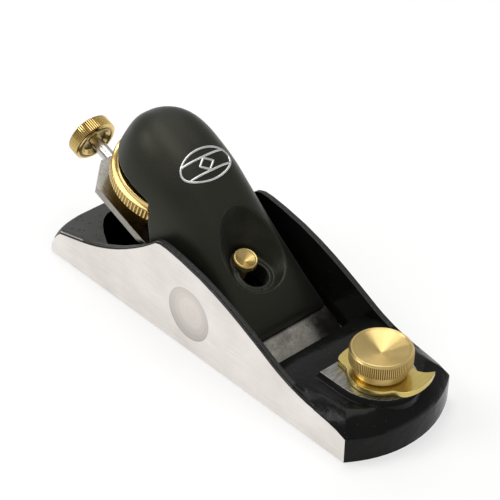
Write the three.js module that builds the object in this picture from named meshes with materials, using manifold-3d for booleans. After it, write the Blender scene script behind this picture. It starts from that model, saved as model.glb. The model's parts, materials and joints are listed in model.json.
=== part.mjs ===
// Adjustable block plane: cast body, sliding toe plate with its eccentric lever and knob,
// bevel-up iron on a screw adjuster, and a lever cap locked by a spin wheel.
// Millimetres. +X runs to the toe, +Z up, Y across; the sole lies on z = 0.

import * as THREE from 'three';
import { mergeVertices } from 'three/addons/utils/BufferGeometryUtils.js';
import Module from 'manifold-3d';

const wasm = await Module();
wasm.setup();

// ---- driving dimensions ---------------------------------------------------------------

const HALF_LENGTH = 82.5;
const HALF_WIDTH = 25;
const WALL = 2.7;
const INNER_HALF_WIDTH = HALF_WIDTH - WALL;
const SOLE_THICK = 4.5;
const TOE_CORNER_X = 74.4; // where the flat cheek meets the rounded toe
const HEEL_CORNER_X = -81.9;
const HEEL = { z: 9.8, apex: -76.3, sweep: 0.075, ledge: 0.3, end: -82.6 }; // solid behind the well

// Lengths "s" run up the bed from here, heights "h" stand square to the top of the iron.
const BED_ANGLE = THREE.MathUtils.degToRad(21);
const BED_ORIGIN_X = 43.2;

const BLADE = { halfWidth: 20.5, thick: 3.2, edge: 13.5, end: 118, corner: 9, bevel: 25 };
const REST_GAP = 0.3; // where one piece rests on another in the tilted group
const BED_H = -BLADE.thick - REST_GAP;
const DIMPLE = { x: -3, z: 16, radius: 10.5, sphere: 45 }; // finger dish in each cheek
const MOUTH_REAR_X = 31.5;
const BED_FRONT_X = 30; // the well meets the throat here
const THROAT_X = 34.5; // lip of the toe block over the mouth
const THROAT_LIP_Z = 13.4;

const DECK = { z: 15.6, rear: 41.5, front: 52, rim: 0.6, sink: 0.1 }; // painted top of the toe block
const PAD = { z: 17.8, rear: 50.7, halfWidth: 13.8, x: 62, reach: 16.4 }; // machined, under the lever
const KNOB_X = 65.1;
const TOE_TRAVEL = 1.2; // each way
const LEVER_SWING = THREE.MathUtils.degToRad(12); // each way, in step with the toe travel
const TOE_PLATE = { rear: 36.2, front: 72, halfWidth: 21, thick: 5, boss: 3.9 };
const TOE_CLEAR = 0.3;
const ECCENTRIC_R = 7.6; // fixed pin to knob axis, at mid travel

const SEAT_H = 8.8; // where the lever cap bears up against its screw
const SCREW = { s: 52, head: 4.5, shank: 2.5, top: 11.4, bottom: -12 };
const KEYHOLE = { wide: 5, narrow: 2.8, length: 6 };
const WHEEL = { s: 95, radius: 22, low: 7.5, high: 12.3, top: 14.2 };
const WHEEL_ROOM = { wide: 22.4, narrow: 20.9, step: 13.8 }; // clears the wheel at its highest
const CLAMP_SCREW_R = 3;
const DOME_LOW_H = 15.6; // underside of the palm rest, over the wheel
const POST = { s: 72, radius: 5, low: -17, high: -3.9 };
const SHAFT = { h: -11.4, radius: 2.45, front: 66, rear: 134 };
const CARRIER = { s: 109.5, half: 3.5, radius: 6, pin: 2.9 };
const ADJUSTER = { front: 132.1, rear: 138.2, radius: 8.9 };
const BADGE = { s: 82, across: 11, along: 6.2, line: 0.9, band: 2.7 };
const FIT = 0.1; // radial play of turned pieces in their holes

const PAST = 6; // how far a cutting tool runs out beyond the metal
const OVER = 60; // higher than any piece of the casting

const FINE = 40; // segments round the large turned pieces
const ROUND = 24; // segments round the small ones

// ---- materials ------------------------------------------------------------------------

const finish = (color, roughness, metalness) => (
  new THREE.MeshStandardMaterial({ color, roughness, metalness })
);
const PAINT = [0x17191a, 0.4, 0.2];
const BRASS = [0xc9a24a, 0.28, 1];
const STEEL = [0xb9b6b0, 0.25, 1];
const IRON = [0x9d9a94, 0.35, 1];

// ---- geometry helpers -----------------------------------------------------------------

const steps = (count) => Array.from({ length: count + 1 }, (_, i) => i / count);

/** Closed three.js geometry to a solid that can be joined and cut. */
function solid(geometry) {
  const bare = geometry.clone();
  bare.deleteAttribute('normal');
  bare.deleteAttribute('uv');
  const merged = mergeVertices(bare, 1e-4);
  const corners = Array.from(merged.index.array);
  const triangles = corners.filter((_, i) => {
    const [a, b, c] = corners.slice(i - (i % 3), i - (i % 3) + 3);
    return a !== b && b !== c && c !== a;
  });
  return new wasm.Manifold(new wasm.Mesh({
    numProp: 3,
    vertProperties: new Float32Array(merged.attributes.position.array),
    triVerts: new Uint32Array(triangles),
  }));
}

function toGeometry(body) {
  const mesh = body.getMesh();
  const geometry = new THREE.BufferGeometry();
  geometry.setAttribute('position', new THREE.BufferAttribute(mesh.vertProperties, 3));
  geometry.setIndex(new THREE.BufferAttribute(mesh.triVerts, 1));
  geometry.computeVertexNormals();
  return geometry;
}

const join = (...bodies) => bodies.reduce((a, b) => a.add(b));
const cut = (body, ...tools) => tools.reduce((a, b) => a.subtract(b), body);

function box(x0, x1, y0, y1, z0, z1) {
  const geometry = new THREE.BoxGeometry(x1 - x0, y1 - y0, z1 - z0);
  return geometry.translate((x0 + x1) / 2, (y0 + y1) / 2, (z0 + z1) / 2);
}

/** Outline in X and Y, raised from z0 to z1. */
function upright(points, z0, z1) {
  const shape = new THREE.Shape(points.map(([x, y]) => new THREE.Vector2(x, y)));
  const geometry = new THREE.ExtrudeGeometry(shape, { depth: z1 - z0, bevelEnabled: false });
  return geometry.translate(0, 0, z0);
}

/** Outline in X and Z, run across to both sides of the middle plane. */
function across(points, halfWidth) {
  const shape = new THREE.Shape(points.map(([x, z]) => new THREE.Vector2(x, z)));
  const options = { depth: 2 * halfWidth, bevelEnabled: false };
  return new THREE.ExtrudeGeometry(shape, options).rotateX(Math.PI / 2).translate(0, halfWidth, 0);
}

/** Turned about Z: the profile of [radius, z] has the metal on its left. */
function turned(profile, segments = ROUND) {
  const points = profile.map(([r, z]) => new THREE.Vector2(r, z));
  return new THREE.LatheGeometry(points, segments).rotateX(Math.PI / 2);
}

const rod = (radius, z0, z1, segments = ROUND) => (
  turned([[0, z0], [radius, z0], [radius, z1], [0, z1]], segments)
);

/** Ring of straight knurling about Z. */
function knurl(radius, depth, teeth, z0, z1) {
  const star = new THREE.Shape(steps(2 * teeth).slice(0, -1).map((t, i) => {
    const r = i % 2 ? radius : radius - depth;
    return new THREE.Vector2(r * Math.cos(2 * Math.PI * t), r * Math.sin(2 * Math.PI * t));
  }));
  star.holes.push(new THREE.Path().absarc(0, 0, radius - 2.5, 0, 2 * Math.PI, true));
  const options = { depth: z1 - z0, bevelEnabled: false };
  return new THREE.ExtrudeGeometry(star, options).translate(0, 0, z0);
}

/** Slot with round ends along X, about the middle plane. */
function slot(x0, x1, radius, z0, z1) {
  const ends = [box(x0, x1, -radius, radius, z0, z1)];
  const rounds = [x0, x1].map((x) => rod(radius, z0, z1).translate(x, 0, 0));
  return join(...[...ends, ...rounds].map(solid));
}

/** Closed body up through anticlockwise rings of equal count, each a list of [x, y, z]. */
function loft(rings) {
  const count = rings[0].length;
  const positions = rings.flat(2);
  const index = [];
  rings.slice(1).forEach((_, k) => {
    for (let i = 0; i < count; i += 1) {
      const [a, b] = [k * count + i, k * count + ((i + 1) % count)];
      index.push(a, b, b + count, a, b + count, a + count);
    }
  });
  [0, rings.length - 1].forEach((k) => {
    const flat = rings[k].map(([x, y]) => new THREE.Vector2(x, y));
    THREE.ShapeUtils.triangulateShape(flat, []).forEach(([a, b, c]) => {
      const face = k ? [a, b, c] : [a, c, b];
      index.push(...face.map((i) => k * count + i));
    });
  });
  const geometry = new THREE.BufferGeometry();
  geometry.setAttribute('position', new THREE.Float32BufferAttribute(positions, 3));
  geometry.setIndex(index);
  return geometry;
}

// The bed's own frame: X up the bed, Z off the iron, so Y points to the right-hand cheek.
const bed = new THREE.Group();
bed.position.set(BED_ORIGIN_X, 0, 0);
bed.rotation.set(0, BED_ANGLE, Math.PI);
bed.updateMatrix();

const inBed = (geometry) => geometry.clone().applyMatrix4(bed.matrix);

/** Height of the plane h = constant over the sole at x. */
function bedZ(x, h) {
  const s = (BED_ORIGIN_X + h * Math.sin(BED_ANGLE) - x) / Math.cos(BED_ANGLE);
  return s * Math.sin(BED_ANGLE) + h * Math.cos(BED_ANGLE);
}

// ---- cast body ------------------------------------------------------------------------

// Side view of the cheek's upper edge, as [x, z]: heel sweep to the peak, then on to the toe.
const curve = (points) => new THREE.SplineCurve(points.map(([x, z]) => new THREE.Vector2(x, z)));
const HEEL_SWEEP = curve([[-85.5, 8.6], [-73.4, 11.6], [-59.7, 15.1], [-50.1, 18.6], [-40, 23.5],
  [-28.7, 30.6], [-20.6, 36.9]]);
const TOE_SWEEP = curve([[-18.2, 37.6], [-11, 37.1], [4, 34], [16, 29.9], [25.5, 25.8],
  [35.3, 21.1], [41, 18.3], [46, 16.4], [50, 15.2], [56.2, 13.8], [64.8, 12.6], [69.9, 11.7],
  [72.3, 10.8], [75, 9.9], [85.5, 9.4]]);

const SWEEP_STEPS = { heel: 14, toe: 22 };

function cheekOutline(raise) {
  const top = [...HEEL_SWEEP.getPoints(SWEEP_STEPS.heel), ...TOE_SWEEP.getPoints(SWEEP_STEPS.toe)];
  return [[-85.5, -1], ...top.map((p) => [p.x, p.y + raise]), [85.5, -1]];
}

/** Rounded toe edge seen from above, from the left cheek to the right, drawn in by inset. */
function toeArc(inset, count = 20) {
  const half = HALF_WIDTH - inset;
  const reach = HALF_LENGTH - TOE_CORNER_X;
  return steps(count).map((t) => {
    const y = Math.sin((t - 0.5) * Math.PI);
    return [TOE_CORNER_X - inset + reach * (1 - Math.abs(y) ** 2.14), y * half];
  });
}

function heelArc(count = 14) {
  const reach = HALF_LENGTH + HEEL_CORNER_X;
  return steps(count).map((t) => {
    const y = Math.sin((0.5 - t) * Math.PI);
    return [HEEL_CORNER_X - reach * (1 - y * y), y * HALF_WIDTH];
  });
}

/** Height at which the toe's wall turns in towards the deck: just under the cheek's edge. */
function toeSideZ(x) {
  const edge = TOE_SWEEP.getPoints(SWEEP_STEPS.toe);
  const i = edge.findIndex((p) => p.x > x);
  const cheek = THREE.MathUtils.mapLinear(x, edge[i - 1].x, edge[i].x, edge[i - 1].y, edge[i].y);
  return Math.min(DECK.z, cheek - DECK.sink);
}

/** Toe block: its painted top swells from the cheek line, and a low rim fades in round the toe. */
function toeBlock() {
  const levels = [[0, 0, 0], [0, 1, 0], [0.7, 0.8, 0], [1.7, 0.58, 0.1], [3, 0.36, 0.4],
    [4.4, 0.17, 0.8], [5.8, 0.05, 1], [6.8, 0.02, 0.9], [7.6, 0, 0]];
  const rings = levels.map(([inset, drop, rim], k) => {
    const half = HALF_WIDTH - inset;
    const sides = steps(10).slice(0, -1).map((t) => (
      THREE.MathUtils.lerp(THROAT_X - PAST / 3, TOE_CORNER_X - inset, t)));
    const outline = [...sides.map((x) => [x, -half]), ...toeArc(inset),
      ...sides.toReversed().map((x) => [x, half])];
    return outline.map(([x, y]) => {
      const raise = rim * DECK.rim * THREE.MathUtils.smoothstep(x, DECK.front, DECK.front + 12);
      return [x, y, k ? DECK.z + raise - drop * (DECK.z - toeSideZ(x)) : 0];
    });
  });
  return cut(solid(loft(rings)), solid(throat()));
}

/** Room behind the toe block, under its lip and over the slope of its top. */
function throat() {
  const [low, rear, past] = [TOE_PLATE.rear + 2, THROAT_X - PAST, DECK.rear + PAST];
  const slope = (DECK.z - THROAT_LIP_Z) / (DECK.rear - THROAT_X);
  return across([[rear, -2], [low, -2], [low, TOE_PLATE.thick], [THROAT_X, THROAT_LIP_Z],
    [past, DECK.z + slope * (past - DECK.rear)], [past, OVER], [rear, OVER]], HALF_WIDTH + PAST);
}

/** D-shaped machined pad that stands up from the deck. */
function leverPad() {
  const levels = [[1.3, 12], [1, 15.9], [0.3, 16.6], [0, PAD.z]];
  return solid(loft(levels.map(([grow, z]) => {
    const half = PAD.halfWidth + grow;
    const front = steps(16).map((t) => {
      const a = (t - 0.5) * Math.PI;
      return [PAD.x + (PAD.reach + grow) * Math.cos(a), half * Math.sin(a), z];
    });
    return [[PAD.rear - grow, -half, z], ...front, [PAD.rear - grow, half, z]];
  })));
}

/** Deep part of the inside, seen from above: it narrows to a blunt point before the heel. */
function wellPlan() {
  const half = INNER_HALF_WIDTH - HEEL.ledge;
  const rear = steps(16).map((t) => {
    const y = half * (1 - 2 * t);
    return [HEEL.apex + HEEL.sweep * y * y, y];
  });
  return [[BED_FRONT_X - 1, -half], [BED_FRONT_X - 1, half], ...rear];
}

/** Inside of the body, open at the top, with the front of the blade bed left standing. */
function bodyCavity() {
  const overHeel = box(-HALF_LENGTH - PAST, BED_FRONT_X, -INNER_HALF_WIDTH, INNER_HALF_WIDTH,
    HEEL.z, OVER);
  const bedRear = 8;
  const mouth = MOUTH_REAR_X;
  const bedBlock = across([[mouth + 1, 0], [mouth + 1, bedZ(mouth + 1, BED_H)],
    [bedRear, bedZ(bedRear, BED_H)], [bedRear, 0]], HALF_WIDTH);
  const overBed = across([[TOE_PLATE.rear + 2, -2], [mouth, -2], [mouth, bedZ(mouth, BED_H)],
    [bedRear, bedZ(bedRear, BED_H)], [bedRear, OVER], [DECK.front, OVER],
    [DECK.front, SOLE_THICK + 4],
    [TOE_PLATE.rear + 2, TOE_PLATE.thick]], INNER_HALF_WIDTH);
  const deep = solid(upright(wellPlan(), SOLE_THICK, HEEL.z + 1));
  const well = cut(join(deep, solid(overHeel)), solid(bedBlock));
  return join(well, solid(overBed));
}

/** Cross rib under the iron that holds the adjuster's post. */
function postRib() {
  const rib = across([[-17.5, 4], [-17.5, bedZ(-17.5, BED_H)], [-33, bedZ(-33, BED_H)], [-41, 4]],
    HALF_WIDTH - 1);
  const bore = rod(POST.radius + 0.15, POST.low - REST_GAP, 5).translate(POST.s, 0, 0);
  const channel = box(POST.s - 16, POST.s + 24, -3.6, 3.6, SHAFT.h - 3.6, 5);
  return cut(solid(rib), solid(inBed(bore)), solid(inBed(channel)));
}

/** Boss under the iron for the lever cap's screw. */
function screwBoss() {
  const boss = across([[0.5, 4], [0.5, bedZ(0.5, BED_H)], [-12, bedZ(-12, BED_H)], [-16.5, 4]], 8);
  const hole = rod(SCREW.shank + FIT, SCREW.bottom - REST_GAP, 5).translate(SCREW.s, 0, 0);
  return cut(solid(boss), solid(inBed(hole)));
}

/** What a square heel corner loses, as [z, reach]: it is rounder and rounder towards the top. */
function heelCorner(side) {
  const levels = [[-1, 0.3], [2, 0.5], [4.3, 1.9], [6.9, 3.6], [8.9, 5.3], [10.7, 7.6], [14, 12]];
  return solid(loft(levels.map(([z, reach]) => {
    const wide = 3 * reach;
    const [x, y] = [HEEL.end + reach, wide - HALF_WIDTH - 0.05];
    const arc = steps(10).map((t) => {
      const a = t * Math.PI / 2;
      return [x - reach * Math.sin(a), y - wide * Math.cos(a)];
    });
    const [pastEnd, pastSide] = [HEEL.end - PAST, -HALF_WIDTH - PAST];
    const ring = [...arc, [pastEnd, y], [pastEnd, pastSide], [x, pastSide]];
    const placed = ring.map(([u, v]) => [u, -side * v, z]);
    return side < 0 ? placed : placed.reverse();
  })));
}

function bodyCasting() {
  const plan = solid(upright([...toeArc(0), ...heelArc()], 0, OVER));
  const rim = [[HALF_WIDTH, 0], [HALF_WIDTH - 1, 0.6]];
  const cheeks = join(...rim.map(([half, raise]) => solid(across(cheekOutline(raise), half))));
  const [width, front] = [HALF_WIDTH + PAST, HALF_LENGTH + PAST];
  const pastThroat = solid(box(DECK.front + 8, front, -width, width, -PAST, OVER));
  const walls = cut(cheeks.intersect(plan), pastThroat, bodyCavity());
  const recess = solid(box(MOUTH_REAR_X + 1, TOE_PLATE.front + TOE_TRAVEL + TOE_CLEAR,
    -TOE_PLATE.halfWidth - TOE_CLEAR, TOE_PLATE.halfWidth + TOE_CLEAR,
    -2, TOE_PLATE.thick + TOE_CLEAR));
  const bossSlot = slot(KNOB_X - TOE_TRAVEL, KNOB_X + TOE_TRAVEL, TOE_PLATE.boss + TOE_CLEAR, 2, 25);
  const pinHole = solid(rod(1.25, 12, 25).translate(KNOB_X - ECCENTRIC_R, 0, 0));
  const dimples = [-1, 1].map((side) => {
    const dish = new THREE.SphereGeometry(DIMPLE.sphere, 96, 48);
    const out = Math.sqrt(DIMPLE.sphere ** 2 - DIMPLE.radius ** 2);
    return solid(dish.translate(DIMPLE.x, side * (HALF_WIDTH + out), DIMPLE.z));
  });
  const solids = join(cut(walls, heelCorner(-1), heelCorner(1)), toeBlock(), leverPad());
  return join(cut(solids, recess, bossSlot, pinHole, ...dimples), postRib(), screwBoss());
}

// ---- toe group ------------------------------------------------------------------------

function toePlate() {
  const { rear, front, halfWidth, thick, boss } = TOE_PLATE;
  const plate = solid(across([[rear, 0], [front, 0], [front, thick], [rear + 2.3, thick]], halfWidth));
  const post = solid(rod(boss, 1, PAD.z - 0.4).translate(KNOB_X, 0, 0));
  return cut(join(plate, post), solid(rod(3.05, 7, 20).translate(KNOB_X, 0, 0)));
}

const toeStud = () => solid(rod(3, 7.1, 26).translate(KNOB_X, 0, 0));

const eccentricPin = () => solid(rod(1.2, 12.1, 19.7).translate(KNOB_X - ECCENTRIC_R, 0, 0));

/** Finger tab of the eccentric lever: smooth edges that meet at its tips, as [degrees, radius]. */
function leverTab(edges, z0, z1) {
  const smooth = edges.flatMap((edge) => curve(edge.map(([degrees, r]) => {
    const a = THREE.MathUtils.degToRad(degrees);
    return [r * Math.cos(a), r * Math.sin(a)];
  })).getPoints(14));
  const outline = smooth.filter((p, i) => i === 0 || p.distanceTo(smooth[i - 1]) > 0.01);
  return solid(upright([[0, 0], ...outline.map((p) => [p.x, p.y])], z0, z1));
}

function mouthLever() {
  const [z0, z1] = [PAD.z + FIT, PAD.z + 2.3];
  const frontTab = leverTab([[[-24, 11], [-17, 12.3], [-8, 13.9], [5, 14.9], [18, 15.8], [34, 17.1],
    [47, 18.3]], [[47, 18.3], [44.5, 15.6], [46, 12.8], [55, 11]]], z0, z1);
  const rearTab = leverTab([[[140, 11], [149, 12.4], [155, 14.6]], [[155, 14.6], [168, 15.2],
    [182, 15.3], [198, 15.2], [207, 14.8]], [[207, 14.8], [214, 12.8], [224, 11]]], z0, z1);
  const disc = solid(rod(11.2, z0, z1, FINE));
  const track = steps(8).map((t) => {
    const turn = (2 * t - 1) * LEVER_SWING;
    const r = ECCENTRIC_R + TOE_TRAVEL * (2 * t - 1);
    const [x, y] = [r * Math.cos(Math.PI - turn), r * Math.sin(Math.PI - turn)];
    return solid(rod(1.5, 10, 30, 16).translate(x, y, 0));
  });
  return cut(join(disc, frontTab, rearTab), solid(rod(3.2, 10, 30)), ...track);
}

function frontKnob() {
  const z0 = PAD.z + 2.4;
  const body = turned([[0, 26.4], [3.2, 26.4], [3.2, z0], [8.6, z0], [9.2, z0 + 0.5], [9.2, 23.6],
    [10.4, 24.3], [10.4, 29.5], [10.1, 29.9], [9.3, 29.9], [0, 27.4]], FINE);
  return join(solid(body), solid(knurl(10.9, 0.35, 44, 24.7, 29.3)));
}

// ---- iron and its adjuster, in the bed's frame --------------------------------------------

function blade() {
  const { halfWidth, thick, edge, end, corner, bevel } = BLADE;
  const bevelRun = thick / Math.tan(THREE.MathUtils.degToRad(bevel));
  const bar = across([[edge, -thick], [end, -thick], [end, 0], [edge + bevelRun, 0]], halfWidth);
  const corners = [-1, 1].map((side) => solid(upright([[end - corner, side * (halfWidth + 1)],
    [end - corner, side * halfWidth], [end, side * (halfWidth - corner)],
    [end + 2, side * (halfWidth - corner)], [end + 2, side * (halfWidth + 1)]], -9, 9)));
  const screwSlot = slot(SCREW.s - 3.2, SCREW.s + 8.2, 4.2, -9, 9);
  const carrierHole = solid(rod(CARRIER.pin + FIT, -9, 9).translate(CARRIER.s, 0, 0));
  return cut(solid(bar), ...corners, screwSlot, carrierHole);
}

/** Turned piece about the adjuster's screw axis, with its profile's z measured along the bed. */
const onShaft = (profile, segments) => (
  solid(turned(profile, segments).rotateY(Math.PI / 2).translate(0, 0, SHAFT.h))
);

function adjusterPost() {
  const post = solid(rod(POST.radius, POST.low, POST.high).translate(POST.s, 0, 0));
  const hole = onShaft([[0, 50], [SHAFT.radius + FIT, 50], [SHAFT.radius + FIT, 90], [0, 90]]);
  return cut(post, hole);
}

function bladeCarrier() {
  const [s0, s1] = [CARRIER.s - CARRIER.half, CARRIER.s + CARRIER.half];
  const collar = onShaft([[0, s0], [5.4, s0], [CARRIER.radius, s0 + 0.6], [CARRIER.radius, s1 - 0.6],
    [5.4, s1], [0, s1]]);
  const pin = solid(rod(CARRIER.pin, SHAFT.h + 3.4, -0.4).translate(CARRIER.s, 0, 0));
  const bore = onShaft([[0, 90], [SHAFT.radius + FIT, 90], [SHAFT.radius + FIT, 125], [0, 125]]);
  return cut(join(collar, pin), bore);
}

/** Ring clipped on the shaft at one end of the carrier. */
function retainingRing(side) {
  const near = CARRIER.s + side * (CARRIER.half + 0.2);
  const [s0, s1] = [near, near + side * 0.9].sort((a, b) => a - b);
  const ring = onShaft([[0, s0], [4.2, s0], [4.2, s1], [0, s1]]);
  const bore = onShaft([[0, 90], [SHAFT.radius + 0.05, 90], [SHAFT.radius + 0.05, 125], [0, 125]]);
  return cut(ring, bore);
}

function adjusterShaft() {
  const { radius, front, rear } = SHAFT;
  return onShaft([[0, front], [radius - 0.5, front], [radius, front + 0.5], [radius, rear], [0, rear]]);
}

function adjusterKnob() {
  const { front, rear, radius } = ADJUSTER;
  const body = onShaft([[0, SHAFT.rear + FIT], [SHAFT.radius + FIT, SHAFT.rear + FIT],
    [SHAFT.radius + FIT, front + 1.2], [5.8, front + 1.2], [6.6, front], [8, front],
    [8.5, front + 0.5], [8.5, rear - 0.6], [8, rear - 0.1], [6.4, rear], [0, rear]], FINE);
  const grip = knurl(radius, 0.35, 36, front + 0.8, rear - 0.8);
  return join(body, solid(grip.rotateY(Math.PI / 2).translate(0, 0, SHAFT.h)));
}

// ---- lever cap and its clamp, in the bed's frame ------------------------------------------

/** Lever cap stations up the bed: [s, half width, crown height]. */
const CAP_STATIONS = [
  [26.2, 20.2, 2.4], [27.4, 20.3, 4.2], [30, 20.3, 6.3], [34, 20.2, 8.9], [40, 20, 12.1],
  [47, 19.8, 15.5], [55, 19.5, 19.6], [64, 19.5, 24], [73, 19.9, 27.9], [81, 20.7, 30.6],
  [89, 21.1, 32.4], [96, 21.1, 33.1], [102, 20.1, 33], [107, 17.9, 31.7], [111, 14.8, 29.1],
  [114, 10.7, 25.7], [116, 5.4, 21.4], [116.8, 2.4, 18.6],
];

/** Outer skin of the cap, from its crown down to the height low. */
function capSkin(low, grow = 0, stations = CAP_STATIONS) {
  const rings = stations.map(([s, half, crown]) => {
    const square = THREE.MathUtils.mapLinear(THREE.MathUtils.clamp(s, 50, 90), 50, 90, 4, 3);
    const arc = steps(16).map((t) => {
      const y = Math.sin((t - 0.5) * Math.PI);
      const rise = (1 - Math.abs(y) ** square) ** (1 / 2);
      return [y * (half + grow), low + (crown + grow - low) * rise];
    });
    return arc.map(([y, h]) => [h, y, s]);
  });
  return solid(loft(rings).rotateY(-Math.PI / 2).rotateZ(Math.PI));
}

/** Egg-shaped ring of the finger dish: from the toe end to the rear end, at height h. */
function eggRing([front, rear, half, h]) {
  return steps(28).slice(0, -1).map((t) => {
    const a = 2 * Math.PI * t;
    const blunt = 1 + 0.16 * Math.cos(a);
    return [(front + rear) / 2 + (rear - front) / 2 * Math.cos(a), half * Math.sin(a) / blunt, h];
  });
}

function capDish() {
  return solid(loft([[39.2, 57.4, 7.2, SEAT_H - 0.6], [37.6, 58.4, 8.6, 10], [35, 60.6, 11.6, 14],
    [33, 63.4, 14.2, 19], [31.6, 67.4, 16, 28]].map(eggRing)));
}

/** Keyhole of the given extra width, from height h0 to h1. */
function keyhole(grow, h0, h1) {
  const wideS = SCREW.s - KEYHOLE.length;
  const wide = solid(rod(KEYHOLE.wide + grow, h0, h1, FINE).translate(wideS, 0, 0));
  return join(wide, slot(wideS, SCREW.s, KEYHOLE.narrow + grow, h0, h1));
}

function leverCap() {
  const wheelRoom = solid(turned([[0, -5], [WHEEL_ROOM.wide, -5], [WHEEL_ROOM.wide, WHEEL_ROOM.step],
    [WHEEL_ROOM.narrow, WHEEL_ROOM.step], [WHEEL_ROOM.narrow, DOME_LOW_H], [0, DOME_LOW_H]], FINE));
  const behind = solid(across([[86, DOME_LOW_H], [74.6, -5], [130, -5], [130, DOME_LOW_H]], 30));
  const relief = solid(box(31, 68, -17, 17, -5, 1.6));
  const thread = solid(rod(CLAMP_SCREW_R + 0.15, -5, 24.7).translate(WHEEL.s, 0, 0));
  const shell = cut(capSkin(REST_GAP), wheelRoom.translate(WHEEL.s, 0, 0), behind, relief, capDish());
  return cut(join(shell, keyhole(1.3, 5, SEAT_H)), keyhole(0, -5, 15), thread);
}

/** Plain oval emblem following the crown: two bars across it with a lozenge between them. */
function capBadge() {
  const { s, across: wide, along, line, band } = BADGE;
  const oval = (inset) => steps(36).slice(0, -1).map((t) => [
    s + (along - inset) * Math.cos(2 * Math.PI * t), (wide - inset) * Math.sin(2 * Math.PI * t)]);
  const diamond = (half) => [[s - half, 0], [s, -1.4 * half], [s + half, 0], [s, 1.4 * half]];
  const tall = (points, h0 = 5, h1 = 50) => solid(upright(points, h0, h1));
  const ring = cut(tall(oval(0)), tall(oval(line), 0, 60));
  const bars = [-band, band].map((out) => (
    solid(box(s + out - line / 2, s + out + line / 2, -wide, wide, 5, 50)).intersect(tall(oval(0.3)))));
  const lozenge = cut(tall(diamond(band)), tall(diamond(band - line), 0, 60));
  const skin = cut(capSkin(REST_GAP, 0.5), capSkin(REST_GAP, 0.05));
  return join(ring, ...bars, lozenge).intersect(skin);
}

function leverCapScrew() {
  const { s, head, shank, top, bottom } = SCREW;
  const under = SEAT_H + REST_GAP;
  const body = turned([[0, bottom], [shank - 0.5, bottom], [shank, bottom + 0.5], [shank, under],
    [head, under], [head, top - 0.3], [head - 0.3, top], [head - 0.8, top], [0, top - 2]]);
  return solid(body.translate(s, 0, 0));
}

function capWheel() {
  const { radius, low, high, top } = WHEEL;
  const body = turned([[0, low - 2.5], [8, low - 2.5], [8, low], [radius - 1.2, low],
    [radius - 0.5, low + 0.6], [radius - 0.5, high - 0.2], [radius - 1.6, high + 0.5],
    [radius - 2.2, top], [12, top], [11, top - 1], [0, top - 1]], FINE);
  const grip = knurl(radius, 0.4, 60, low + 0.6, high - 0.2);
  const bore = rod(CLAMP_SCREW_R + FIT, 0, 30);
  return cut(join(solid(body), solid(grip)), solid(bore));
}

const capWheelScrew = () => solid(rod(CLAMP_SCREW_R, 1.9, 23.4));

function capFoot() {
  const pad = turned([[0, REST_GAP], [5, REST_GAP], [5.5, 0.8], [5.5, 3], [4.6, 3.7], [0, 3.7]]);
  const socket = rod(CLAMP_SCREW_R + 0.2, 1.6, 9);
  return cut(solid(pad), solid(socket));
}

// ---- assembly -------------------------------------------------------------------------

function piece(name, body, look, x = 0) {
  const mesh = new THREE.Mesh(toGeometry(body), finish(...look));
  mesh.name = name;
  mesh.position.x = x;
  return mesh;
}

const plane = new THREE.Group();
plane.add(
  piece('body_casting', bodyCasting(), PAINT),
  piece('eccentric_pin', eccentricPin(), STEEL),
  piece('toe_plate', toePlate(), IRON),
  piece('toe_stud', toeStud(), STEEL),
  piece('mouth_lever', mouthLever(), BRASS, KNOB_X),
  piece('front_knob', frontKnob(), BRASS, KNOB_X),
  bed,
);
bed.add(
  piece('lever_cap_screw', leverCapScrew(), BRASS),
  piece('blade', blade(), STEEL),
  piece('adjuster_post', adjusterPost(), STEEL),
  piece('blade_carrier', bladeCarrier(), STEEL),
  piece('carrier_ring_front', retainingRing(-1), STEEL),
  piece('carrier_ring_rear', retainingRing(1), STEEL),
  piece('adjuster_shaft', adjusterShaft(), STEEL),
  piece('adjuster_knob', adjusterKnob(), BRASS),
  piece('lever_cap', leverCap(), PAINT),
  piece('cap_badge', capBadge(), STEEL),
  piece('cap_wheel', capWheel(), BRASS, WHEEL.s),
  piece('cap_wheel_screw', capWheelScrew(), STEEL, WHEEL.s),
  piece('cap_foot', capFoot(), STEEL, WHEEL.s),
);

export default plane;
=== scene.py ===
"""Looks for the adjustable block plane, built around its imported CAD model. Lengths are in metres."""

import json
import math

import bmesh
import bpy
from mathutils import Matrix, Vector
from mathutils.bvhtree import BVHTree


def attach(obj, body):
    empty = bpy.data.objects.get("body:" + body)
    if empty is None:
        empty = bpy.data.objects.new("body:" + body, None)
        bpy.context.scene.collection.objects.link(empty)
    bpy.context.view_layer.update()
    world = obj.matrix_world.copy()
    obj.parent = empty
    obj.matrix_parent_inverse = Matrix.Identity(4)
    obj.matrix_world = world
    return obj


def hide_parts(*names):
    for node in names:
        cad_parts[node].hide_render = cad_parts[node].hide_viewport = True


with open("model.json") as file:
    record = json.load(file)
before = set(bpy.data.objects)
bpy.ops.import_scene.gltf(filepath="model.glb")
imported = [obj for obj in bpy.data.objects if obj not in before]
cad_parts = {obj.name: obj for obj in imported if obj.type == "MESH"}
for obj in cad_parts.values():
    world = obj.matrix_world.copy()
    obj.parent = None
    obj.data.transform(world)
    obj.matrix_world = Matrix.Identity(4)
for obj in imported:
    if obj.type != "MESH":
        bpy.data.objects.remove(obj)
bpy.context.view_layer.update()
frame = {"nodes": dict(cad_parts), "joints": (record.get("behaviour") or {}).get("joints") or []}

MM = 0.001
DIMPLE_X, DIMPLE_Z, DIMPLE_RADIUS = -3 * MM, 16 * MM, 10.6 * MM
JOINTS = {joint["name"]: joint for joint in frame["joints"]}

# ---- camera ---------------------------------------------------------------------------------

CAMERA_AZIMUTH = math.radians(46.86)  # from the near cheek, on -Y, towards the toe, on +X
CAMERA_ELEVATION = math.radians(36.0)
CAMERA_ROLL = math.radians(1.32)
CAMERA_DISTANCE = 655.65 * MM
CAMERA_TARGET = Vector((-6.0, 6.31, 27.05)) * MM
CAMERA_LENS = 133.59  # millimetres on a 36 mm sensor


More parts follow.
